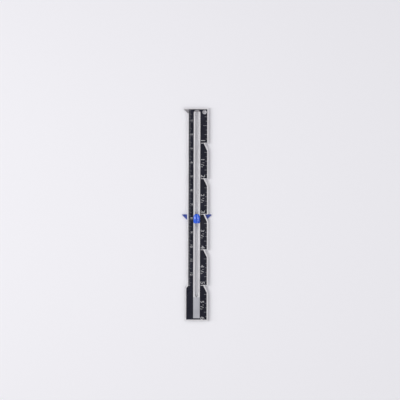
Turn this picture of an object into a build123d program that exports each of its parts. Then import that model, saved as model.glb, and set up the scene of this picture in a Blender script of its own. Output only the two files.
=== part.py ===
from build123d import *
import math
import os

# A sewing gauge: a flat aluminium blade with an inch edge and a metric edge, printed in black enamel,
# and a blue plastic slider that runs in a long slot and marks a length on both scales.
#
# +X points to the inch edge, +Y to the zero end of both scales, +Z out of the printed face.
# The origin is on the slot's centre line, half way along the blade, on the slider's flat back.
# A distance called a reading is measured along the blade from its zero end, as the scales measure it.

# Blade blank
blade_length = 152.4
scale_inches = 6
blade_width = 16.6
blade_thickness = 1.0
blade_corner_radius = 0.5
blade_front_bevel = 0.24
blade_back_bevel = 0.12

# Tooth at the zero end of the metric edge
tooth_reach = 9.7
tooth_tip_flat = 1.0
tooth_length = 3.8
tooth_tip_radius = 0.25

# Metric edge, set back between the tooth and the shoulder
recess_depth = 1.4
shoulder_angle = 45.0

# Stepped ledges on the inch edge, one at each whole inch
notch_depth = 2.4
notch_length = 5.0

# Slot for the slider
slot_width = 2.2
slot_lead = 3.0
slot_tail = 17.2

# Hole for a hook or a pivot pin
hole_diameter = 2.7
hole_side_inset = 2.95
hole_end_inset = 3.1

# Enamel coat, with the bare metal showing round it, along the slot and in every graduation
coat_thickness = 0.05
coat_margin = 1.0
ledge_margin = 0.45
bare_strip_border = 1.25
bare_strip_head = 1.3
bare_strip_foot = 2.0
hole_ring = 0.22
coat_overrun = 0.5

# Metric graduations, with their lengths as shares of the printed band that they cross
metric_line_spacing = 1.0
metric_line_width = 0.15
metric_short_share = 0.38
metric_middle_share = 0.6
metric_long_share = 0.9
lines_per_centimetre = 10
lines_per_half_centimetre = 5

# Inch graduations, with their lengths as shares of their own band
lines_per_inch = 8
lines_per_half_inch = 4
lines_per_quarter_inch = 2
inch_line_width = 0.22
inch_eighth_share = 0.2
inch_quarter_share = 0.38
inch_half_share = 0.26
first_half_share = 0.58
ledge_line_width = 0.35
ledge_line_start = 0.5

# Pointer plate behind the blade
rest_reading_share = 0.5
pointer_overhang = 2.6
pointer_foot_inset = 0.15
pointer_angle = 45.0
pointer_thickness = 1.2
pointer_tip_radius = 0.3
pointer_foot_radius = 1.0
pointer_edge_radius = 0.2

# Clearances of the slider
face_clearance = 0.08
side_clearance = 0.1
stop_clearance = 0.15

# Thumb button in front of the blade
button_width = 4.6
button_length = 6.7
button_lead = 0.35
button_height = 2.3
button_foot_radius = 0.9
cross_crown_radius = 3.6
long_crown_drop = 0.4
crown_edge_radius = 0.5
groove_radius = 1.0
groove_depth = 0.5
groove_offset = 0.4
groove_rim_radius = 0.25

# Keel in the slot, and the tongue on it that the button is pressed on
keel_inset = 0.5
tongue_inset = 0.3
tongue_height = 1.1

inch = blade_length / scale_inches
half_width = blade_width / 2
recess_end = blade_length - inch
recess_edge = half_width - recess_depth
coat_half_width = half_width - coat_margin
metric_coat_edge = recess_edge - coat_margin
notch_slope = notch_depth / notch_length
bare_strip_width = slot_width + 2 * bare_strip_border
strip_half_width = bare_strip_width / 2
metric_band = metric_coat_edge - strip_half_width
inch_band = coat_half_width - strip_half_width
slot_end_reading = blade_length - slot_tail
hole_x = half_width - hole_side_inset

button_half_length = button_length / 2
long_crown_radius = (button_half_length**2 + long_crown_drop**2) / (2 * long_crown_drop)
keel_width = slot_width - 2 * side_clearance
keel_length = button_length - 2 * keel_inset
tongue_width = keel_width - 2 * tongue_inset
tongue_length = keel_length - 2 * tongue_inset

blade_back = pointer_thickness + face_clearance
blade_front = blade_back + blade_thickness
coat_front = blade_front + coat_thickness
button_back = coat_front + face_clearance
button_front = button_back + button_height

pointer_edge_y = blade_length / 2 - rest_reading_share * blade_length
pointer_depth = button_length - button_lead - pointer_foot_inset
button_y = pointer_edge_y + button_lead - button_half_length


def along(reading):
    """Y of a reading on the scales."""
    return blade_length / 2 - reading


def plain_outline(has_tooth):
    """Face of the blank before the notches are cut, with or without the tooth."""
    shoulder_rise = recess_depth / math.tan(math.radians(shoulder_angle))
    points = [
        (half_width, along(0)),
        (half_width, along(blade_length)),
        (-half_width, along(blade_length)),
        (-half_width, along(recess_end + shoulder_rise)),
        (-recess_edge, along(recess_end)),
    ]
    if has_tooth:
        points.append((-recess_edge, along(tooth_length)))
        points.append((-tooth_reach, along(tooth_tip_flat)))
        points.append((-tooth_reach, along(0)))
    else:
        points.append((-recess_edge, along(0)))
    return make_face(Polyline(*points, close=True))


def notch_faces(side_margin, top_margin):
    """The stepped notches, grown by a margin beside the slope and one above the ledge."""
    side_shift = side_margin * math.hypot(1, notch_slope)
    inner = half_width - notch_depth - side_shift - top_margin * notch_slope
    faces = []
    for number in range(1, scale_inches):
        top = along(number * inch) + top_margin
        bottom = top - (half_width - inner) / notch_slope
        corners = [(inner, top), (half_width, top), (half_width, bottom)]
        faces.append(make_face(Polyline(*corners, close=True)))
    return faces


def slot_face(width, first, last):
    """Round-ended face along the slot's centre line, between two readings."""
    middle = along((first + last) / 2)
    return Pos(0, middle) * SlotOverall(last - first, width, rotation=90)


def round_blade_corners(blank):
    """Rounds the upright edges at the blade's square corners and at the tooth's tip."""
    uprights = blank.edges().filter_by(Axis.Z)
    at_far_end = uprights.group_by(Axis.Y)[0]
    at_zero_end = uprights.group_by(Axis.Y)[-1].sort_by(Axis.X)
    blank = fillet([*at_far_end, at_zero_end[-1]], blade_corner_radius)
    tip = blank.edges().filter_by(Axis.Z).group_by(Axis.X)[0]
    return fillet(tip, tooth_tip_radius)


def make_blade():
    """The stamped aluminium blade, with its slot, its hole and every edge broken."""
    outline = plain_outline(has_tooth=True) - notch_faces(side_margin=0, top_margin=0)
    blank = round_blade_corners(extrude(outline, blade_thickness))
    slot = extrude(slot_face(slot_width, slot_lead, slot_end_reading), blade_thickness)
    hole = Pos(hole_x, along(hole_end_inset)) * Cylinder(
        hole_diameter / 2, blade_thickness, align=(Align.CENTER, Align.CENTER, Align.MIN)
    )
    blade = blank - slot - hole
    blade = chamfer(blade.faces().sort_by(Axis.Z)[-1].edges(), blade_front_bevel)
    blade = chamfer(blade.faces().sort_by(Axis.Z)[0].edges(), blade_back_bevel)
    return Pos(0, 0, blade_back) * blade


def line_face(first_x, last_x, reading, width):
    """One graduation: a bare line across the blade, centred on its reading."""
    middle_x = (first_x + last_x) / 2
    return Pos(middle_x, along(reading)) * Rectangle(abs(last_x - first_x), width)


def metric_lines():
    """Graduations of the metric edge, each open to the bare margin."""
    edge = -metric_coat_edge
    lines = []
    first = math.ceil((coat_margin + metric_line_width) / metric_line_spacing)
    last = math.floor(recess_end / metric_line_spacing)
    for count in range(first, last + 1):
        share = metric_short_share
        if count % lines_per_half_centimetre == 0:
            share = metric_middle_share
        if count % lines_per_centimetre == 0:
            share = metric_long_share
        inner = edge + share * metric_band
        reading = count * metric_line_spacing
        lines.append(line_face(edge - coat_overrun, inner, reading, metric_line_width))
    return lines


def inch_lines():
    """Graduations of the inch edge, and the line at each ledge.

    A half inch line stops short of its label, but the first one has no label and is the longest.
    Beside the hole there is no room for a line.
    """
    lines = []
    spacing = inch / lines_per_inch
    for count in range(1, scale_inches * lines_per_inch):
        reading = count * spacing
        past_ledge = reading % inch
        in_first_inch = reading < inch
        if count % lines_per_inch == 0:
            lines.append(ledge_line(reading))
            continue
        if past_ledge < notch_length and not in_first_inch:
            continue
        if reading < hole_end_inset + hole_diameter:
            continue
        share = inch_eighth_share
        if count % lines_per_quarter_inch == 0:
            share = inch_quarter_share
        if count % lines_per_half_inch == 0:
            share = first_half_share if in_first_inch else inch_half_share
        inner = coat_half_width - share * inch_band
        lines.append(line_face(inner, coat_half_width + coat_overrun, reading, inch_line_width))
    return lines


def ledge_line(reading):
    """Line from beside the bare strip to a notch, with its lower side level with the ledge."""
    outer = half_width - notch_depth
    inner = strip_half_width + ledge_line_start
    return line_face(inner, outer, reading - ledge_line_width / 2, ledge_line_width)


def make_coat():
    """The enamel print: the blank's outline drawn in by the margin, less all that stays bare."""
    outline = offset(plain_outline(has_tooth=False), -coat_margin, kind=Kind.INTERSECTION)
    notches = notch_faces(side_margin=coat_margin, top_margin=ledge_margin)
    strip_foot = blade_length - bare_strip_foot
    strip_middle = bare_strip_head + strip_half_width
    round_head = Pos(0, along(strip_middle)) * Circle(strip_half_width)
    straight = Pos(0, along((strip_middle + strip_foot) / 2)) * Rectangle(
        bare_strip_width, strip_foot - strip_middle
    )
    ring = Pos(hole_x, along(hole_end_inset)) * Circle(hole_diameter / 2 + hole_ring)
    stays_bare = [round_head, straight, ring, *notches, *metric_lines(), *inch_lines()]
    print_face = outline - stays_bare
    return Pos(0, 0, blade_front) * extrude(print_face, coat_thickness)


def rounded_bar(width, length, height):
    """Upright bar with round ends, standing on its own middle."""
    return extrude(SlotOverall(length, width, rotation=90), height)


def make_pointer_plate():
    """Back half of the slider: the double pointer, with the keel and its tongue on the front."""
    half_span = half_width + pointer_overhang
    half_foot = half_span - pointer_depth / math.tan(math.radians(pointer_angle))
    foot_y = pointer_edge_y - pointer_depth
    outline = make_face(
        Polyline(
            (-half_span, pointer_edge_y),
            (half_span, pointer_edge_y),
            (half_foot, foot_y),
            (-half_foot, foot_y),
            close=True,
        )
    )
    plate = extrude(outline, pointer_thickness)
    plate = fillet(plate.edges().filter_by(Axis.Z).group_by(Axis.Y)[-1], pointer_tip_radius)
    plate = fillet(plate.edges().filter_by(Axis.Z).group_by(Axis.Y)[0], pointer_foot_radius)
    front_and_back = plate.faces().filter_by(Axis.Z).edges()
    plate = fillet(front_and_back, pointer_edge_radius)
    keel = rounded_bar(keel_width, keel_length, button_back - pointer_thickness)
    tongue = rounded_bar(tongue_width, tongue_length, tongue_height)
    keel = Pos(0, button_y, pointer_thickness) * keel
    tongue = Pos(0, button_y, button_back) * tongue
    return plate + keel + tongue


def button_outline():
    """Face of the button: a half-round head towards the zero end and a squarer foot."""
    head_radius = button_width / 2
    shank = Pos(0, -head_radius / 2) * Rectangle(button_width, button_length - head_radius)
    outline = shank + Pos(0, button_half_length - head_radius) * Circle(head_radius)
    return fillet(outline.vertices().group_by(Axis.Y)[0], button_foot_radius)


def crown_barrel():
    """Barrel that is curved both ways, whose top is the crown of the button."""
    reach = button_length
    axis_z = button_height - cross_crown_radius
    end_z = button_height - long_crown_radius + math.sqrt(long_crown_radius**2 - reach**2)
    crown_line = ThreePointArc((0, -reach, end_z), (0, 0, button_height), (0, reach, end_z))
    ends = Polyline((0, reach, end_z), (0, reach, axis_z), (0, -reach, axis_z), (0, -reach, end_z))
    return revolve(make_face([crown_line, ends]), Axis((0, 0, axis_z), (0, 1, 0)))


def make_thumb_button():
    """Front half of the slider: a crowned button with a thumb groove and a socket behind."""
    body = extrude(button_outline(), button_height) & crown_barrel()
    crown = body.faces().filter_by(GeomType.REVOLUTION)[0]
    body = fillet(crown.edges(), crown_edge_radius)
    groove_z = button_height - groove_depth + groove_radius
    body -= Pos(groove_offset, 0, groove_z) * Rot(90, 0, 0) * Cylinder(groove_radius, 2 * button_length)
    groove = body.faces().filter_by(GeomType.CYLINDER).sort_by(Axis.Z)[-1]
    rims = groove.edges().sort_by(SortBy.LENGTH)[-2:]
    body = fillet(rims, groove_rim_radius)
    socket = rounded_bar(tongue_width, tongue_length, tongue_height)
    return Pos(0, button_y, button_back) * (body - socket)


def main():
    os.makedirs("parts", exist_ok=True)
    pieces = {
        "blade": make_blade(),
        "enamel_coat": make_coat(),
        "pointer_plate": make_pointer_plate(),
        "thumb_button": make_thumb_button(),
    }
    for name, piece in pieces.items():
        export_step(piece, f"parts/{name}.step")
    keel_head_y = button_y + keel_length / 2
    keel_foot_y = button_y - keel_length / 2
    travel_up = along(slot_lead) - keel_head_y - stop_clearance
    travel_down = keel_foot_y - along(slot_end_reading) - stop_clearance
    print(f"slider travel {-travel_down:.2f} to {travel_up:.2f} mm, button top {button_front:.2f} mm")


main()
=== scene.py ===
# %% [markdown]
# # Dressing a sewing gauge
# A sewing gauge is a small metal ruler with a slider. The blade is stamped from aluminium sheet, one
# face is printed in black enamel, and a blue plastic pointer runs in the slot to hold a hem width.
# The engineering model already has the true shapes, so this lesson is about its finishes, which are
# bare brushed metal, thin enamel and moulded plastic, and about the numerals of its two scales.
# Everything is in metres, with +X to the inch edge, +Y to the zero end and +Z out of the print.

# %% Load the engineering model
import math

import bpy
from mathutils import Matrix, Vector


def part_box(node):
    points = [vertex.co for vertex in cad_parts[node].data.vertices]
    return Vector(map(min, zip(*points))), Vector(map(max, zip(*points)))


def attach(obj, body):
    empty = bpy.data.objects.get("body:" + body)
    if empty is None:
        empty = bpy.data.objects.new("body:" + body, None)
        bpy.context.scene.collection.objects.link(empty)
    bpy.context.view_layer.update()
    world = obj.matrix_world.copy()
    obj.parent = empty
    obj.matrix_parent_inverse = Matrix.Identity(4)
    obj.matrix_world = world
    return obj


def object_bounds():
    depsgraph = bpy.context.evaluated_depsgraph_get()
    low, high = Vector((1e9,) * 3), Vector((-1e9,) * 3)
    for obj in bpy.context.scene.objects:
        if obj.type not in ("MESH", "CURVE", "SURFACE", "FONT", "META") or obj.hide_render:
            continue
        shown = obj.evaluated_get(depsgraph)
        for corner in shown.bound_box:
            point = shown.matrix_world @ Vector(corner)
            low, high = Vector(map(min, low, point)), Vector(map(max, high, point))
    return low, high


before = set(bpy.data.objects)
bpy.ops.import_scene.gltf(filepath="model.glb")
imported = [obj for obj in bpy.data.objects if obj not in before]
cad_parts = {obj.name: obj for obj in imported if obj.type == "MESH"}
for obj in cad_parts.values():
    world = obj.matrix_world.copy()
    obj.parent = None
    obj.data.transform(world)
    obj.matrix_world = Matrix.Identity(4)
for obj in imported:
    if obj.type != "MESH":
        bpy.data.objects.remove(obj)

MM = 0.001
cad_low, cad_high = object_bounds()
print("size in mm", [round(side / MM, 2) for side in cad_high - cad_low])

# %% [markdown]
# ## Where things are
# The scales give the gauge its own coordinates: a reading is counted from the zero end, and six
# inches fill the blade. The blade's box and the print's thickness are read from the model's own
# pieces. Places inside the print, such as a numeral's, are typed in the steps that use them.

# %% Read the sizes of the blade and of its print
SCALE_INCHES = 6
SCALE_CENTIMETRES = 12

blade_low, blade_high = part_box("blade")
coat_low, coat_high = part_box("enamel_coat")
inch = (blade_high.y - blade_low.y) / SCALE_INCHES
centimetre = 10 * MM


def along(reading):
    """Y of a reading on the scales."""
    return blade_high.y - reading


print("one inch on the blade is", round(inch / MM, 3), "mm")


# %% [markdown]
# ## Building node trees in code
# A material is a small program drawn as boxes and wires. Three helpers keep that readable: one adds
# a box and sets its values, one draws a wire, and one gives an input either of the two. Inputs are
# named as in the editor, so each line can be checked against the node that it makes.

# %% Boxes and wires
def add(tree, kind, **inputs):
    """A new node of that kind, with values for some of its inputs."""
    made = tree.nodes.new(kind)
    for name, value in inputs.items():
        made.inputs[name.replace("_", " ")].default_value = value
    return made


def wire(tree, source, target):
    """Joins an output socket to an input socket."""
    tree.links.new(source, target)


def feed(tree, socket, value):
    """Gives an input socket a number, a colour of three numbers, or a wire from a socket."""
    if isinstance(value, (int, float)):
        socket.default_value = value
    elif isinstance(value, tuple):
        socket.default_value = (*value, 1.0)
    else:
        wire(tree, value, socket)


# %% [markdown]
# ## Steps that are used everywhere
# Nearly all patterns come from three steps: arithmetic on a number, a smooth ramp that turns one
# range of numbers into another, and a blend of two colours by a mask. A smooth ramp is chosen over a
# hard threshold, because a hard one flickers where a line is thinner than a pixel. A Mix node gives
# its sockets for numbers, vectors and colours the same names, so the colours go by socket number.

# %% Arithmetic, ramp and blend
MIX_FIRST_COLOUR = 6
MIX_SECOND_COLOUR = 7
MIX_RESULT_COLOUR = 2


def maths(tree, operation, first, second=0.0):
    """A Math node's result. Each operand is a socket or a number."""
    made = tree.nodes.new("ShaderNodeMath")
    made.operation = operation
    feed(tree, made.inputs[0], first)
    feed(tree, made.inputs[1], second)
    return made.outputs[0]


def ramp(tree, source, low, high, to_low=0.0, to_high=1.0):
    """A smooth step: source from low to high becomes a value from to_low to to_high."""
    made = add(tree, "ShaderNodeMapRange")
    made.interpolation_type = "SMOOTHSTEP"
    feed(tree, made.inputs["Value"], source)
    feed(tree, made.inputs["From Min"], low)
    feed(tree, made.inputs["From Max"], high)
    feed(tree, made.inputs["To Min"], to_low)
    feed(tree, made.inputs["To Max"], to_high)
    return made.outputs[0]


def blend(tree, mask, first, second):
    """First where the mask is 0 and second where it is 1. Each is a socket or a colour."""
    made = tree.nodes.new("ShaderNodeMix")
    made.data_type = "RGBA"
    wire(tree, mask, made.inputs["Factor"])
    feed(tree, made.inputs[MIX_FIRST_COLOUR], first)
    feed(tree, made.inputs[MIX_SECOND_COLOUR], second)
    return made.outputs[MIX_RESULT_COLOUR]


# %% [markdown]
# ## Node groups
# An effect that several finishes share is built once as a group with named inputs, as a maker keeps
# one jig for many parts. A group here puts out only a mask or a value. The shader that turns it into
# metal, enamel or plastic stays in each material.

# %% Start and use a group
def start_group(name, inputs, output):
    """An empty group with number inputs, each with a start value, and one number output."""
    group = bpy.data.node_groups.new(name, "ShaderNodeTree")
    for label, value in inputs.items():
        made = group.interface.new_socket(label, in_out="INPUT", socket_type="NodeSocketFloat")
        made.default_value = value
    group.interface.new_socket(output, in_out="OUTPUT", socket_type="NodeSocketFloat")
    given = group.nodes.new("NodeGroupInput").outputs
    result = group.nodes.new("NodeGroupOutput").inputs[output]
    return group, given, result


def use_group(tree, group, **inputs):
    """Places a group in a material, sets its inputs and gives back its output."""
    made = tree.nodes.new("ShaderNodeGroup")
    made.node_tree = group
    for name, value in inputs.items():
        made.inputs[name.replace("_", " ")].default_value = value
    return made.outputs[0]


# %% [markdown]
# ## Brushed lines
# Sheet aluminium carries hairlines along its length, from the rolls and from a last brushing. They
# are noise, stretched: thousands of changes per metre across the blade and only a few dozen along it.
# A picture of metal would do it too, but it has edges and repeats, and stretched noise has neither.

# %% Group for brushed lines
LINE_NOISE_LOW = 0.25
LINE_NOISE_HIGH = 0.75


def make_brushed_lines():
    group, given, result = start_group(
        "brushed lines", {"Lines per metre": 9000.0, "Breaks per metre": 70.0}, "Lines"
    )
    place = add(group, "ShaderNodeTexCoord").outputs["Object"]
    stretch = add(group, "ShaderNodeCombineXYZ")
    wire(group, given["Lines per metre"], stretch.inputs["X"])
    wire(group, given["Breaks per metre"], stretch.inputs["Y"])
    wire(group, given["Lines per metre"], stretch.inputs["Z"])
    scaled = add(group, "ShaderNodeVectorMath")
    scaled.operation = "MULTIPLY"
    wire(group, place, scaled.inputs[0])
    wire(group, stretch.outputs["Vector"], scaled.inputs[1])
    noise = add(group, "ShaderNodeTexNoise", Scale=1.0, Detail=3.0, Roughness=0.6)
    wire(group, scaled.outputs["Vector"], noise.inputs["Vector"])
    wire(group, ramp(group, noise.outputs["Fac"], LINE_NOISE_LOW, LINE_NOISE_HIGH), result)
    return group


brushed_lines = make_brushed_lines()
print("made the group", brushed_lines.name)


# %% [markdown]
# ## Scratches
# A gauge lives among pins and scissors, so it gets a few short scratches, each its own way.
# Stretched noise can't do that, for it runs one way all over. A Voronoi texture can: it deals the
# surface into cells, and gives each cell a middle and a random colour, whose red, green and blue are
# three throws of a die. It works flat, in X and Y only, because the gauge is seen from its face.

# %% Cells that each have their own direction
def turned_cells(group, density):
    """Across and along a cell's own random direction, and its green and blue throws."""
    place = add(group, "ShaderNodeTexCoord").outputs["Object"]
    cells = add(group, "ShaderNodeTexVoronoi")
    cells.voronoi_dimensions = "2D"
    wire(group, place, cells.inputs["Vector"])
    wire(group, density, cells.inputs["Scale"])
    throws = add(group, "ShaderNodeSeparateColor")
    wire(group, cells.outputs["Color"], throws.inputs["Color"])
    from_middle = add(group, "ShaderNodeVectorMath")
    from_middle.operation = "SUBTRACT"
    wire(group, place, from_middle.inputs[0])
    wire(group, cells.outputs["Position"], from_middle.inputs[1])
    turned = add(group, "ShaderNodeVectorRotate")
    turned.rotation_type = "Z_AXIS"
    wire(group, from_middle.outputs["Vector"], turned.inputs["Vector"])
    wire(group, maths(group, "MULTIPLY", throws.outputs["Red"], math.tau), turned.inputs["Angle"])
    cell = add(group, "ShaderNodeSeparateXYZ")
    wire(group, turned.outputs["Vector"], cell.inputs["Vector"])
    return cell.outputs["X"], cell.outputs["Y"], throws.outputs["Green"], throws.outputs["Blue"]


# %% [markdown]
# A scratch is where a point lies close to the cell's own line and near enough to its middle. It is
# bent a little by the blue throw, because a hand never scratches quite straight, and it fades at its
# ends. The green throw says whether the cell has a scratch at all.

# %% Group for scratches
MIDDLE_THROW = 0.5
BEND_RANGE = 60.0
FULL_STRENGTH_SHARE = 0.3


def make_scratches():
    group, given, result = start_group(
        "short scratches",
        {"Cells per metre": 200.0, "Half length": 0.002, "Half width": 0.00003, "Share": 0.3},
        "Mask",
    )
    across, along_line, green, blue = turned_cells(group, given["Cells per metre"])
    bend = maths(group, "MULTIPLY", maths(group, "SUBTRACT", blue, MIDDLE_THROW), BEND_RANGE)
    bow = maths(group, "MULTIPLY", maths(group, "POWER", along_line, 2.0), bend)
    aside = maths(group, "ABSOLUTE", maths(group, "ADD", across, bow))
    thin = ramp(group, aside, 0.0, given["Half width"], 1.0, 0.0)
    fading = maths(group, "MULTIPLY", given["Half length"], FULL_STRENGTH_SHARE)
    ahead = maths(group, "ABSOLUTE", along_line)
    short = ramp(group, ahead, fading, given["Half length"], 1.0, 0.0)
    present = maths(group, "LESS_THAN", green, given["Share"])
    wire(group, maths(group, "MULTIPLY", maths(group, "MULTIPLY", thin, short), present), result)
    return group


scratches = make_scratches()
print("made the group", scratches.name)


# %% [markdown]
# ## Handling
# Fingers leave a soft, uneven gloss that shows only where light glances off. It belongs in the
# roughness, not in the colour: the group turns slow noise into a roughness between two limits, so
# each material says how dull it is where it is clean and where it is handled.

# %% Group for uneven gloss
CLEAN_NOISE = 0.35
HANDLED_NOISE = 0.65


def make_handling():
    group, given, result = start_group(
        "handling", {"Patches per metre": 160.0, "Clean": 0.3, "Handled": 0.45}, "Roughness"
    )
    place = add(group, "ShaderNodeTexCoord").outputs["Object"]
    noise = add(group, "ShaderNodeTexNoise", Detail=4.0, Roughness=0.55)
    wire(group, place, noise.inputs["Vector"])
    wire(group, given["Patches per metre"], noise.inputs["Scale"])
    touched = noise.outputs["Fac"]
    rough = ramp(group, touched, CLEAN_NOISE, HANDLED_NOISE, given["Clean"], given["Handled"])
    wire(group, rough, result)
    return group


handling = make_handling()
print("made the group", handling.name)


# %% [markdown]
# ## A soft box
# Some places on the blade look different from the rest: the strip below the slot, the tooth, the
# metal round the slot's head. Vertex paint could mark them, but the engineering mesh has no points
# just there. A box in object coordinates marks them as well, and its soft border hides its edge.

# %% Group for a soft box
def make_soft_box():
    group, given, result = start_group(
        "soft box",
        {"Left": -0.001, "Right": 0.001, "Bottom": -0.001, "Top": 0.001, "Softness": 0.0003},
        "Mask",
    )
    place = add(group, "ShaderNodeSeparateXYZ")
    wire(group, add(group, "ShaderNodeTexCoord").outputs["Object"], place.inputs["Vector"])
    sides = []
    for axis, low, high in (("X", "Left", "Right"), ("Y", "Bottom", "Top")):
        before = maths(group, "SUBTRACT", given[low], given["Softness"])
        after = maths(group, "ADD", given[high], given["Softness"])
        sides.append(ramp(group, place.outputs[axis], before, given[low]))
        sides.append(ramp(group, place.outputs[axis], given[high], after, 1.0, 0.0))
    mask = sides[0]
    for side in sides[1:]:
        mask = maths(group, "MULTIPLY", mask, side)
    wire(group, mask, result)
    return group


soft_box = make_soft_box()
print("made the group", soft_box.name)


# %% [markdown]
# ## A shader for each material
# Every finish starts from one Principled shader. What is the same all over, such as how metallic the
# surface is, is set on the shader itself. Only what changes from place to place comes in by a wire.

# %% Start a material
BUMP_DEPTH = 0.02 * MM


def new_material(name, **constants):
    """A material with one Principled shader, and constant values on the shader's own inputs."""
    material = bpy.data.materials.new(name)
    material.use_nodes = True
    tree = material.node_tree
    shader = tree.nodes["Principled BSDF"]
    for label, value in constants.items():
        shader.inputs[label.replace("_", " ")].default_value = value
    return material, tree, shader


def emboss(tree, shader, height, strength):
    """Feeds a height pattern to the shader as a bump, where a height of 1 is BUMP_DEPTH deep."""
    bump = add(tree, "ShaderNodeBump", Strength=strength, Distance=BUMP_DEPTH)
    wire(tree, height, bump.inputs["Height"])
    wire(tree, bump.outputs["Normal"], shader.inputs["Normal"])


# %% [markdown]
# ## How bare metal is worked
# The blade and the bare numerals share one treatment, laid over whatever grey they start from: the
# lines darken it a little, scratches cut bright through it, and both dent the surface. Metal shows
# its wear in the gloss more than in the colour, so the handling goes to the roughness.

# %% Work a metal surface
SCRATCH_METAL = (0.97, 0.97, 0.98)
LINE_SHADE = 0.84


def work_metal(tree, shader, colour, line_depth):
    """Adds lines, scratches and handling to a metal shader that starts from that colour."""
    lines = use_group(tree, brushed_lines, Lines_per_metre=9000.0, Breaks_per_metre=70.0)
    marks = use_group(tree, scratches, Cells_per_metre=210.0, Half_width=0.00003, Share=0.35)
    lined = add(tree, "ShaderNodeHueSaturation")
    feed(tree, lined.inputs["Color"], colour)
    wire(tree, ramp(tree, lines, 0.0, 1.0, LINE_SHADE, 1.0), lined.inputs["Value"])
    scratched = blend(tree, marks, lined.outputs["Color"], SCRATCH_METAL)
    wire(tree, scratched, shader.inputs["Base Color"])
    gloss = use_group(tree, handling, Patches_per_metre=180.0, Clean=0.28, Handled=0.42)
    wire(tree, gloss, shader.inputs["Roughness"])
    emboss(tree, shader, maths(tree, "SUBTRACT", lines, marks), line_depth)


# %% [markdown]
# ## Where the blade is bright and where it is grey
# Bare metal shows round the print, along the slot and in the plain strip below it. The narrow rims
# are painted nearly white, a painted highlight for the light that the rims' edges catch. The wide
# strip keeps its brushed grey, and so does the back. The tooth and the head of the slot are painted
# darker still, as painted shade. So one metal has several greys, and soft boxes say where each
# belongs.

# %% Mask of the strip
STRIP_HALF_WIDTH = 2.35 * MM
STRIP_SOFTNESS = 0.3 * MM
SLOT_END = 135.2 * MM
GREY_INSET = 1.5 * MM


def mark_strip(tree):
    """Mask of the plain strip below the slot."""
    return use_group(
        tree,
        soft_box,
        Left=-STRIP_HALF_WIDTH,
        Right=STRIP_HALF_WIDTH,
        Bottom=blade_low.y + GREY_INSET,
        Top=along(SLOT_END + STRIP_SOFTNESS),
        Softness=STRIP_SOFTNESS,
    )


print("the strip is", round(2 * STRIP_HALF_WIDTH / MM, 2), "mm wide")


# %% [markdown]
# The tooth and the head of the slot both lie at the zero end, and both get painted shade, so one
# helper marks either. Their border is twice as soft as the strip's, so that no outline shows.

# %% Masks of the tooth and of the head of the slot
METRIC_EDGE = -5.9 * MM
SHADE_INSET = 1.3 * MM
SHADE_SOFTNESS = 0.6 * MM
TOOTH_REACH = 3.6 * MM
HEAD_REACH = 2.6 * MM


def mark_end(tree, left, right, reach):
    """Mask of painted shade between left and right, from the bright margin to that reading."""
    return use_group(
        tree,
        soft_box,
        Left=left,
        Right=right,
        Bottom=along(reach),
        Top=along(SHADE_INSET),
        Softness=SHADE_SOFTNESS,
    )


def mark_ends(tree):
    """Mask of the painted shade on the tooth and on the metal round the head of the slot."""
    tooth = mark_end(tree, blade_low.x, METRIC_EDGE, TOOTH_REACH)
    head = mark_end(tree, -STRIP_HALF_WIDTH, STRIP_HALF_WIDTH, HEAD_REACH)
    return maths(tree, "MAXIMUM", tooth, head)


# The metal printed here as dull is the painted shade, and this is the reading it reaches on the
# tooth.
print("the dull metal reaches down to", round(TOOTH_REACH / MM, 1), "mm on the tooth")


# %% [markdown]
# ## Painted shade in the lines of the print
# The graduations are narrow windows in the coat, and the coat's edges shade them, so they are painted
# greyer than the rims, as painted shade. On the metric side the print's edge is straight, so one soft
# box holds them all.

# %% Mask of the metric lines
METRIC_END = 125.9 * MM
FINE_SOFTNESS = 0.1 * MM
CLEAR_OF_STRIP = 2 * FINE_SOFTNESS


def mark_metric_lines(tree):
    """Mask of the painted shade on the metal seen through the metric graduations."""
    return use_group(
        tree,
        soft_box,
        Left=METRIC_EDGE,
        Right=-STRIP_HALF_WIDTH - CLEAR_OF_STRIP,
        Bottom=along(METRIC_END),
        Top=along(GREY_INSET),
        Softness=FINE_SOFTNESS,
    )


print("the metric lines are grey down to", round(METRIC_END / MM, 1), "mm")


# %% [markdown]
# On the inch side the print's edge steps in at each notch, so the mask follows it: a modulo turns
# the reading into a reading within its own inch, and the edge slopes back out over the notch's
# length. The bright lines at the ledges are left out.

# %% Mask of the inch lines
INCH_EDGE = 7.2 * MM
NOTCH_LENGTH = 5.6 * MM
NOTCH_SLOPE = 0.48
LEDGE_HALF_WIDTH = 0.6 * MM


def mark_inch_lines(tree):
    """Mask of the painted shade on the metal seen through the inch graduations, ledge lines apart."""
    place = add(tree, "ShaderNodeSeparateXYZ")
    wire(tree, add(tree, "ShaderNodeTexCoord").outputs["Object"], place.inputs["Vector"])
    reading = maths(tree, "SUBTRACT", blade_high.y, place.outputs["Y"])
    reading = maths(tree, "MODULO", reading, inch)
    notch = maths(tree, "MAXIMUM", maths(tree, "SUBTRACT", NOTCH_LENGTH, reading), 0.0)
    edge = maths(tree, "SUBTRACT", INCH_EDGE, maths(tree, "MULTIPLY", notch, NOTCH_SLOPE))
    inside = ramp(tree, maths(tree, "SUBTRACT", edge, place.outputs["X"]), 0.0, FINE_SOFTNESS)
    printed = use_group(
        tree,
        soft_box,
        Left=STRIP_HALF_WIDTH + CLEAR_OF_STRIP,
        Right=blade_high.x,
        Bottom=blade_low.y + GREY_INSET,
        Top=along(GREY_INSET),
        Softness=FINE_SOFTNESS,
    )
    mask = maths(tree, "MULTIPLY", inside, printed)
    for ledge in (0.0, inch):
        away = maths(tree, "ABSOLUTE", maths(tree, "SUBTRACT", reading, ledge))
        clear = ramp(tree, away, LEDGE_HALF_WIDTH, LEDGE_HALF_WIDTH + FINE_SOFTNESS)
        mask = maths(tree, "MULTIPLY", mask, clear)
    return mask


print("the print's edge steps in by", round(NOTCH_LENGTH * NOTCH_SLOPE / MM, 2), "mm at a notch")
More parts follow.
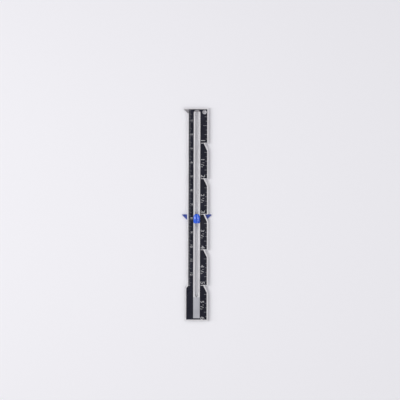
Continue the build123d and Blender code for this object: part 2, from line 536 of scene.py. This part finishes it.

# %% [markdown]
# ## The bare aluminium
# The masks choose among the greys, and the surface's own direction adds two more choices. What faces
# back is grey. What faces neither front nor back is a side or a broken edge, and takes the brightest
# metal, a painted highlight for the light that sides and edges catch.

# %% Aluminium
# Painted highlight: the rims' near white stands in for the light that their edges catch.
HIGHLIT_RIM_METAL = (0.87, 0.85, 0.87)
STRIP_METAL = (0.57, 0.57, 0.61)
# Painted shade: the metal in the graduations is painted greyer for the shade of the coat's edges.
SHADED_LINE_METAL = (0.42, 0.42, 0.44)
# Painted shade: the tooth and the slot's head are painted darker for the shade that falls there.
SHADED_END_METAL = (0.34, 0.325, 0.345)
# Painted highlight on the sides and broken edges, chosen by the way the surface faces.
HIGHLIT_SIDE_METAL = (0.93, 0.93, 0.94)
EDGE_FACING = 0.6
FLAT_FACING = 0.9


def make_aluminium():
    material, tree, shader = new_material("brushed aluminium", Metallic=1.0)
    facing = add(tree, "ShaderNodeSeparateXYZ")
    wire(tree, add(tree, "ShaderNodeTexCoord").outputs["Normal"], facing.inputs["Vector"])
    back = ramp(tree, facing.outputs["Z"], -FLAT_FACING, -EDGE_FACING, 1.0, 0.0)
    flatness = maths(tree, "ABSOLUTE", facing.outputs["Z"])
    # Mask of the painted highlight on sides and edges.
    edge = ramp(tree, flatness, EDGE_FACING, FLAT_FACING, 1.0, 0.0)
    lines = maths(tree, "MAXIMUM", mark_metric_lines(tree), mark_inch_lines(tree))
    grey = blend(tree, mark_strip(tree), HIGHLIT_RIM_METAL, STRIP_METAL)
    grey = blend(tree, lines, grey, SHADED_LINE_METAL)
    grey = blend(tree, mark_ends(tree), grey, SHADED_END_METAL)
    grey = blend(tree, back, grey, STRIP_METAL)
    grey = blend(tree, edge, grey, HIGHLIT_SIDE_METAL)
    work_metal(tree, shader, grey, line_depth=0.25)
    return material


aluminium = make_aluminium()
print("made", aluminium.name, "with", len(aluminium.node_tree.nodes), "nodes")


# %% [markdown]
# ## The black enamel
# The print is a screened coat about as thick as a hair. Seen close it is a blue black that drifts a
# little, with pinholes where metal winks through. One plain dark colour would look like a hole cut
# in the picture. The drift is slow noise, and the pinholes are the middles of small Voronoi cells,
# kept only where the drift is strongest, because a screen clogs in patches.

# %% Colour of the enamel
ENAMEL = (0.0042, 0.0046, 0.0130)
FADED_ENAMEL = (0.0110, 0.0115, 0.0225)
METAL_THROUGH = (0.30, 0.30, 0.33)
FADE_START = 0.42
FADE_FULL = 0.62
PINHOLE_CORE = 0.03
PINHOLE_RIM = 0.07
CLOG_START = 0.56
CLOG_FULL = 0.60
SCRATCH_THROUGH = 0.3


def colour_enamel(tree, place):
    """Blue black that drifts, with pinholes and a few scratches."""
    drift = add(tree, "ShaderNodeTexNoise", Scale=90.0, Detail=5.0, Roughness=0.6)
    wire(tree, place, drift.inputs["Vector"])
    faded = ramp(tree, drift.outputs["Fac"], FADE_START, FADE_FULL)
    colour = blend(tree, faded, ENAMEL, FADED_ENAMEL)
    cells = add(tree, "ShaderNodeTexVoronoi", Scale=900.0)
    wire(tree, place, cells.inputs["Vector"])
    holes = ramp(tree, cells.outputs["Distance"], PINHOLE_CORE, PINHOLE_RIM, 1.0, 0.0)
    clogged = ramp(tree, drift.outputs["Fac"], CLOG_START, CLOG_FULL)
    colour = blend(tree, maths(tree, "MULTIPLY", holes, clogged), colour, METAL_THROUGH)
    marks = use_group(tree, scratches, Cells_per_metre=150.0, Half_width=0.000025, Share=0.16)
    return blend(tree, maths(tree, "MULTIPLY", marks, SCRATCH_THROUGH), colour, METAL_THROUGH)


# %% [markdown]
# The coat's surface is not glassy. It has an orange peel from drying, and the brushed lines of the
# metal below still show in its shine. Both are height patterns, and they are added before one bump,
# because two bumps in a row cost more and say the same.

# %% Enamel
LINES_THROUGH = 0.4


def make_enamel():
    material, tree, shader = new_material("black enamel", Metallic=0.0, Specular_IOR_Level=0.22)
    place = add(tree, "ShaderNodeTexCoord").outputs["Object"]
    wire(tree, colour_enamel(tree, place), shader.inputs["Base Color"])
    gloss = use_group(tree, handling, Patches_per_metre=140.0, Clean=0.26, Handled=0.42)
    wire(tree, gloss, shader.inputs["Roughness"])
    peel = add(tree, "ShaderNodeTexNoise", Scale=2600.0, Detail=1.0)
    wire(tree, place, peel.inputs["Vector"])
    lines = use_group(tree, brushed_lines, Lines_per_metre=6000.0, Breaks_per_metre=60.0)
    height = maths(tree, "ADD", peel.outputs["Fac"], maths(tree, "MULTIPLY", lines, LINES_THROUGH))
    emboss(tree, shader, height, strength=0.12)
    return material


enamel = make_enamel()
print("made", enamel.name, "with", len(enamel.node_tree.nodes), "nodes")


# %% [markdown]
# ## The blue plastic
# Both halves of the slider are moulded from the same blue plastic. The button looks bright and
# glossy.
# The pointer behind the blade sits in the blade's shade, so its colours are painted darker, as
# painted shade, and it is duller, so one recipe gets two sets of colours. Moulded plastic is nearly
# even, with a slight swirl where it flowed, a fine grain from the mould and small scuffs from use.
# The swirl is kept faint, or it would read as marble.

# %% Recipe for plastic
SWIRL_START = 0.35
SWIRL_FULL = 0.7
SCUFF_STRENGTH = 0.5
GRAIN_HEIGHT = 0.5


def make_plastic(name, bright, deep, scuffed, skin):
    """Moulded plastic that swirls between two colours, under a clear skin of that weight."""
    material, tree, shader = new_material(
        name, Specular_IOR_Level=0.3, Coat_Weight=skin, Coat_Roughness=0.12
    )
    place = add(tree, "ShaderNodeTexCoord").outputs["Object"]
    swirl = add(tree, "ShaderNodeTexNoise", Scale=240.0, Detail=2.0, Distortion=1.2)
    wire(tree, place, swirl.inputs["Vector"])
    flow = ramp(tree, swirl.outputs["Fac"], SWIRL_START, SWIRL_FULL)
    colour = blend(tree, flow, bright, deep)
    marks = use_group(
        tree, scratches, Cells_per_metre=900.0, Half_length=0.0005, Half_width=0.00002, Share=0.3
    )
    colour = blend(tree, maths(tree, "MULTIPLY", marks, SCUFF_STRENGTH), colour, scuffed)
    wire(tree, colour, shader.inputs["Base Color"])
    dull = use_group(tree, handling, Patches_per_metre=500.0, Clean=0.20, Handled=0.34)
    wire(tree, dull, shader.inputs["Roughness"])
    grain = add(tree, "ShaderNodeTexNoise", Scale=7000.0, Detail=2.0)
    wire(tree, place, grain.inputs["Vector"])
    fine = maths(tree, "MULTIPLY", grain.outputs["Fac"], GRAIN_HEIGHT)
    emboss(tree, shader, maths(tree, "SUBTRACT", fine, marks), strength=0.15)
    return material


print("a recipe with a swirl, a fine grain and scuffs is ready")

# %% [markdown]
# ## The blue, and the blue in painted shade
# The recipe is used twice. The button has a thick, clear looking skin, as a polished mould gives, and
# the pointer hardly any. A scuff is only a lighter shade of the same blue, as scraped plastic is.

# %% Blue for the button and for the pointer
button_plastic = make_plastic(
    "button plastic",
    bright=(0.012, 0.110, 0.720),
    deep=(0.008, 0.080, 0.600),
    scuffed=(0.16, 0.27, 0.80),
    skin=0.55,
)
# Painted shade: the pointer's colours, its scuffs too, are the button's blue painted darker for the
# shade behind the blade.
shaded_pointer_plastic = make_plastic(
    "shaded pointer plastic",
    bright=(0.042, 0.072, 0.335),
    deep=(0.030, 0.054, 0.275),
    scuffed=(0.13, 0.17, 0.42),
    skin=0.1,
)
print("made", button_plastic.name, "and", shaded_pointer_plastic.name)


# %% [markdown]
# ## Put the finishes on
# The engineering pieces keep their meshes and places. Only the material in their slot changes, which
# is all that a finish is.

# %% Give each piece its finish
def dress(node, material):
    """Puts the material in every slot of that piece of the model."""
    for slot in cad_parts[node].material_slots:
        slot.material = material


dress("blade", aluminium)
dress("enamel_coat", enamel)
dress("pointer_plate", shaded_pointer_plastic)
dress("thumb_button", button_plastic)
print("dressed", sorted(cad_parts))


# %% [markdown]
# ## Metal for the numerals
# The numerals are bare metal too, between the fine lines and the rims in brightness, for their
# strokes are wider than a line and narrower than a rim. They take the blade's own treatment over one
# even grey, with shallower lines.

# %% Numeral metal
NUMERAL_METAL = (0.60, 0.595, 0.61)

numeral_metal, numeral_tree, numeral_shader = new_material("numeral metal", Metallic=1.0)
work_metal(numeral_tree, numeral_shader, NUMERAL_METAL, line_depth=0.2)
print("made", numeral_metal.name, "with", len(numeral_tree.nodes), "nodes")


# %% [markdown]
# ## One numeral
# Cutting each numeral through the thin coat would cost thousands of faces and look the same, so each
# is a slip of metal set through the coat. A text object becomes a mesh first, its doubled corners
# are merged, and then it is brought to size, turned to read down the blade and put in its place.
# Its origin goes to the middle of its box first, so that its place is the middle of what is seen.
# The type starts out about a metre high, so its depth can be anything until the size is set.

# %% Set a numeral
TYPE_DEPTH = 0.5
CURVE_STEPS = 6
SAME_POINT = 0.0001
NUMERAL_RISE = 0.015 * MM
TURN_TO_READ_DOWN = -math.pi / 2


def set_numeral(text, height, x, y, widen=1.0):
    """A numeral of that height with its middle at x, y and its top towards the inch edge."""
    bpy.ops.object.select_all(action="DESELECT")
    bpy.ops.object.text_add()
    lettering = bpy.context.object.data
    lettering.body = text
    lettering.extrude = TYPE_DEPTH
    lettering.resolution_u = CURVE_STEPS
    bpy.ops.object.convert(target="MESH")
    bpy.ops.object.mode_set(mode="EDIT")
    bpy.ops.mesh.select_all(action="SELECT")
    bpy.ops.mesh.remove_doubles(threshold=SAME_POINT)
    bpy.ops.mesh.normals_make_consistent(inside=False)
    bpy.ops.object.mode_set(mode="OBJECT")
    bpy.ops.object.origin_set(type="ORIGIN_GEOMETRY", center="BOUNDS")
    slip = bpy.context.object
    thickness = coat_high.z + NUMERAL_RISE - coat_low.z
    grow = height / slip.dimensions.y
    slip.scale = (grow * widen, grow, thickness / slip.dimensions.z)
    slip.rotation_euler.z = TURN_TO_READ_DOWN
    slip.location = (x, y, coat_low.z + thickness / 2)
    bpy.ops.object.transform_apply(location=True, rotation=True, scale=True)
    return slip


# %% [markdown]
# A scale's numerals belong together, so they are joined into one piece. Joining keeps the first
# one's origin, which transform_apply has already put back at the frame's origin. The piece gets the
# numerals' own metal and rides on the ruler.

# %% Join a scale
def join_scale(name, slips):
    """Makes one finished piece of a scale's numerals."""
    bpy.ops.object.select_all(action="DESELECT")
    for slip in slips:
        slip.select_set(True)
    bpy.context.view_layer.objects.active = slips[0]
    bpy.ops.object.join()
    piece = bpy.context.object
    piece.name = name
    piece.data.name = name
    piece.data.materials.append(numeral_metal)
    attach(piece, "ruler")
    print(name, "has", len(slips), "slips and", len(piece.data.polygons), "faces")


# %% [markdown]
# ## The metric scale
# Each centimetre has its number just before its line, counted from the zero end. A loop places them
# from the spacing, so that no position is typed twice.

# %% Centimetre numerals
METRIC_HEIGHT = 1.7 * MM
METRIC_X = -3.68 * MM
METRIC_LEAD = 1.2 * MM

metric_slips = []
for number in range(1, SCALE_CENTIMETRES + 1):
    y = along(number * centimetre) + METRIC_LEAD
    metric_slips.append(set_numeral(str(number), METRIC_HEIGHT, METRIC_X, y))
join_scale("metric_numerals", metric_slips)

# %% [markdown]
# ## The inch scale
# The whole inches are the numbers that a sewer looks for, so they are set nearly twice as high as
# the centimetres, and a little wider than the type is drawn. Each stands just before its line.

# %% Inch numerals
INCH_HEIGHT = 2.95 * MM
INCH_WIDEN = 1.1
INCH_X = 4.32 * MM
INCH_LEAD = 2.0 * MM

inch_slips = []
for number in range(1, SCALE_INCHES + 1):
    y = along(number * inch) + INCH_LEAD
    inch_slips.append(set_numeral(str(number), INCH_HEIGHT, INCH_X, y, INCH_WIDEN))
join_scale("inch_numerals", inch_slips)

# %% [markdown]
# ## Half inch labels
# A half inch gets the whole number before its line and a fraction after it. The fraction is set on
# the slant, as printers do to save width: the numerator high, the denominator low, and a long stroke
# between them. The first half inch has no label, because the hole takes its place.

# %% Half inch labels
WHOLE_HEIGHT = 2.45 * MM
WHOLE_X = 4.12 * MM
WHOLE_LEAD = 1.05 * MM
PART_HEIGHT = 1.35 * MM
OVER_X = 4.62 * MM
OVER_LAG = 1.2 * MM
STROKE_HEIGHT = 2.3 * MM
STROKE_WIDEN = 1.5
STROKE_X = 4.05 * MM
STROKE_LAG = 2.6 * MM
UNDER_X = 3.52 * MM
UNDER_LAG = 4.0 * MM

half_slips = []
for number in range(1, SCALE_INCHES):
    line = along((number + 0.5) * inch)
    half_slips.append(set_numeral(str(number), WHOLE_HEIGHT, WHOLE_X, line + WHOLE_LEAD))
    half_slips.append(set_numeral("1", PART_HEIGHT, OVER_X, line - OVER_LAG))
    half_slips.append(set_numeral("/", STROKE_HEIGHT, STROKE_X, line - STROKE_LAG, STROKE_WIDEN))
    half_slips.append(set_numeral("2", PART_HEIGHT, UNDER_X, line - UNDER_LAG))
join_scale("half_inch_labels", half_slips)

# %% [markdown]
# ## Floor
# A pale, matt floor takes a soft shadow and keeps the metal's edges in view. It lies a hair below
# the slider's flat back, so that the two never share a surface.

# %% Floor
FLOOR_SIZE = 6.0
FLOOR_COLOUR = (0.90, 0.89, 0.92, 1.0)
FLOOR_GAP = 0.02 * MM

bpy.ops.object.select_all(action="DESELECT")
bpy.ops.mesh.primitive_plane_add(size=FLOOR_SIZE, location=(0, 0, cad_low.z - FLOOR_GAP))
floor = bpy.context.object
floor.name = "floor"
floor_material = new_material("matt floor", Base_Color=FLOOR_COLOUR, Roughness=0.9)[0]
floor.data.materials.append(floor_material)
print("floor is", FLOOR_SIZE, "m square")

# %% [markdown]
# ## Sky
# Metal shows what is round it, so the sky matters as much as the lamps. It is a soft dome, brighter
# overhead, where the blade's flats look, and calmer near the floor, so that edges stand out.

# %% Sky
SKY_OVERHEAD = (0.70, 0.70, 0.715)
SKY_LOW = (0.46, 0.46, 0.475)
LOW_BELOW = 0.15
OVERHEAD_ABOVE = 0.9


def light_the_sky():
    world = bpy.data.worlds.new("studio")
    world.use_nodes = True
    tree = world.node_tree
    direction = add(tree, "ShaderNodeSeparateXYZ")
    wire(tree, add(tree, "ShaderNodeTexCoord").outputs["Object"], direction.inputs["Vector"])
    height = ramp(tree, direction.outputs["Z"], LOW_BELOW, OVERHEAD_ABOVE)
    wire(tree, blend(tree, height, SKY_LOW, SKY_OVERHEAD), tree.nodes["Background"].inputs["Color"])
    bpy.context.scene.world = world
    return world


print("lit by the", light_the_sky().name, "sky")


# %% [markdown]
# ## Lamps
# The light comes from the left, along the whole gauge, as from a window. A long, narrow lamp gives
# that: it draws one bright line down the left shoulder of the button and leaves the thumb groove in
# shade. Its spread is narrowed, as by a grid on a softbox, so that the floor right under it doesn't
# go white. A weak, square lamp on the right keeps the shadows open.

# %% Lamps
def soft_lamp(name, width, length, power, spread_degrees, place):
    """A flat lamp, long way along the gauge, that faces the gauge's middle."""
    bpy.ops.object.light_add(type="AREA", location=place)
    lamp = bpy.context.object
    lamp.name = name
    lamp.data.shape = "RECTANGLE"
    lamp.data.size = width
    lamp.data.size_y = length
    lamp.data.energy = power
    lamp.data.spread = math.radians(spread_degrees)
    lamp.rotation_euler = (-Vector(place)).to_track_quat("-Z", "Y").to_euler()
    print(name, "gives", power, "watts")


soft_lamp(
    "window lamp", width=0.25, length=1.1, power=1.65, spread_degrees=90, place=(-0.80, 0.05, 0.75)
)
soft_lamp(
    "fill lamp", width=0.6, length=0.6, power=0.5, spread_degrees=180, place=(0.8, -0.3, 0.6)
)

# %% [markdown]
# ## Camera
# The gauge is seen from straight above, small in a square frame, with the slot's line tipped a fifth
# of a degree. Known points settle the view: an inch on the blade is 35.5 of the frame's 400 pixels,
# and the origin is a little left of the centre and below it. A long lens two thirds of a metre up
# keeps the blade's sides parallel.

# %% Camera
FRAME_PIXELS = 400
INCH_PIXELS = 35.53
ORIGIN_PIXEL = (196.8, 214.45)
TILT_DEGREES = 0.2
LENS = 85.0
SENSOR = 36.0
NEAR_CLIP = 0.01

frame_width = FRAME_PIXELS / INCH_PIXELS * inch
pixel = frame_width / FRAME_PIXELS
camera_x = (FRAME_PIXELS / 2 - ORIGIN_PIXEL[0]) * pixel
camera_y = (ORIGIN_PIXEL[1] - FRAME_PIXELS / 2) * pixel
camera_height = frame_width * LENS / SENSOR + coat_high.z

camera_data = bpy.data.cameras.new("camera")
camera_data.lens = LENS
camera_data.sensor_width = SENSOR
camera_data.clip_start = NEAR_CLIP
camera = bpy.data.objects.new("camera", camera_data)
camera.location = (camera_x, camera_y, camera_height)
camera.rotation_euler = (0, 0, math.radians(TILT_DEGREES))
bpy.context.scene.collection.objects.link(camera)
bpy.context.scene.camera = camera
bpy.context.scene.view_settings.view_transform = "Standard"
print("camera is", round(camera_height, 3), "m up, and a pixel is", round(pixel / MM, 3), "mm")
